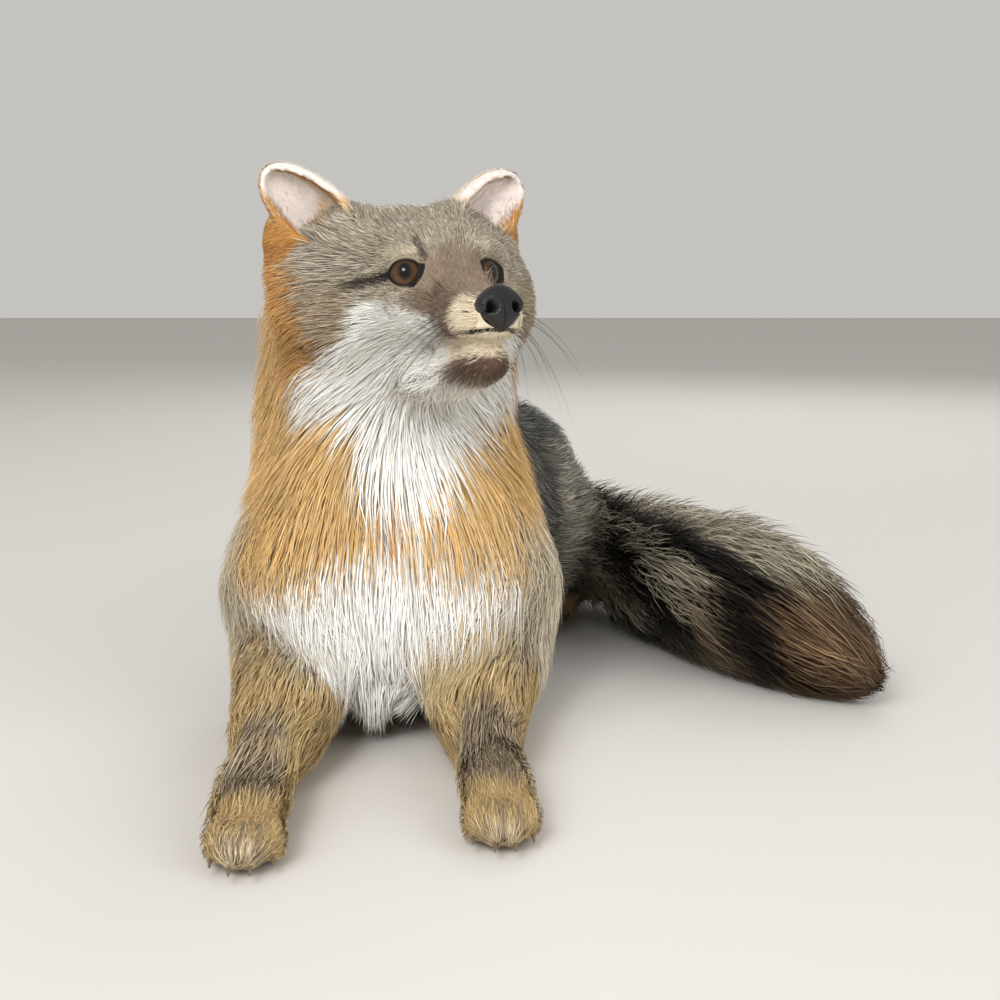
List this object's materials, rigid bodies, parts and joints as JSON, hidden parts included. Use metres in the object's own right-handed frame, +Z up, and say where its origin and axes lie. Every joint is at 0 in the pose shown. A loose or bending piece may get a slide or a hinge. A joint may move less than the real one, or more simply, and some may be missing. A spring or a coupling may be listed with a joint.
{
  "type": "taxidermy grey fox",
  "caption": "Life-size mounted grey fox lying on its chest, forelegs stretched forward, head up and turned to its left, brush curled round beside it.",
  "frame": {"origin": "on the flat underside of the belly, where the fox lies on the floor, between the shoulders and the knees", "axes": "+Z up, -Y the way the chest and forelegs point, +X towards the fox's left"},
  "size_m": [0.3359, 0.5258, 0.2713],
  "materials": {
    "grizzled_coat": "soft salt-and-pepper fur, matte",
    "tawny_coat": "soft orange-buff fur, matte",
    "white_coat": "soft white fur, matte",
    "ear_skin": "thin dry skin, matte",
    "nose_leather": "pebbled, satin",
    "glass_eye": "polished amber-brown glass",
    "claw_horn": "satin horn"
  },
  "bodies": {
    "root": {"head": "grizzled_coat", "trunk": "grizzled_coat", "thigh_left": "grizzled_coat", "thigh_right": "grizzled_coat", "tail_base": "grizzled_coat", "tail_middle": "grizzled_coat", "tail_tip": "grizzled_coat", "neck": "tawny_coat", "upper_arm_left": "tawny_coat", "upper_arm_right": "tawny_coat", "forearm_left": "tawny_coat", "forearm_right": "tawny_coat", "forepaw_left": "tawny_coat", "forepaw_right": "tawny_coat", "hind_foot_left": "tawny_coat", "hind_foot_right": "tawny_coat", "hind_paw_left": "tawny_coat", "hind_paw_right": "tawny_coat", "lower_jaw": "white_coat", "breast_hair": "white_coat", "ear_left": "ear_skin", "ear_right": "ear_skin", "nose": "nose_leather", "eye_left": "glass_eye", "eye_right": "glass_eye", "claw_fore_left_1": "claw_horn", "claw_fore_left_2": "claw_horn", "claw_fore_left_3": "claw_horn", "claw_fore_left_4": "claw_horn", "claw_fore_right_1": "claw_horn", "claw_fore_right_2": "claw_horn", "claw_fore_right_3": "claw_horn", "claw_fore_right_4": "claw_horn", "claw_hind_left_1": "claw_horn", "claw_hind_left_2": "claw_horn", "claw_hind_left_3": "claw_horn", "claw_hind_left_4": "claw_horn", "claw_hind_right_1": "claw_horn", "claw_hind_right_2": "claw_horn", "claw_hind_right_3": "claw_horn", "claw_hind_right_4": "claw_horn"}
  },
  "joints": []
}
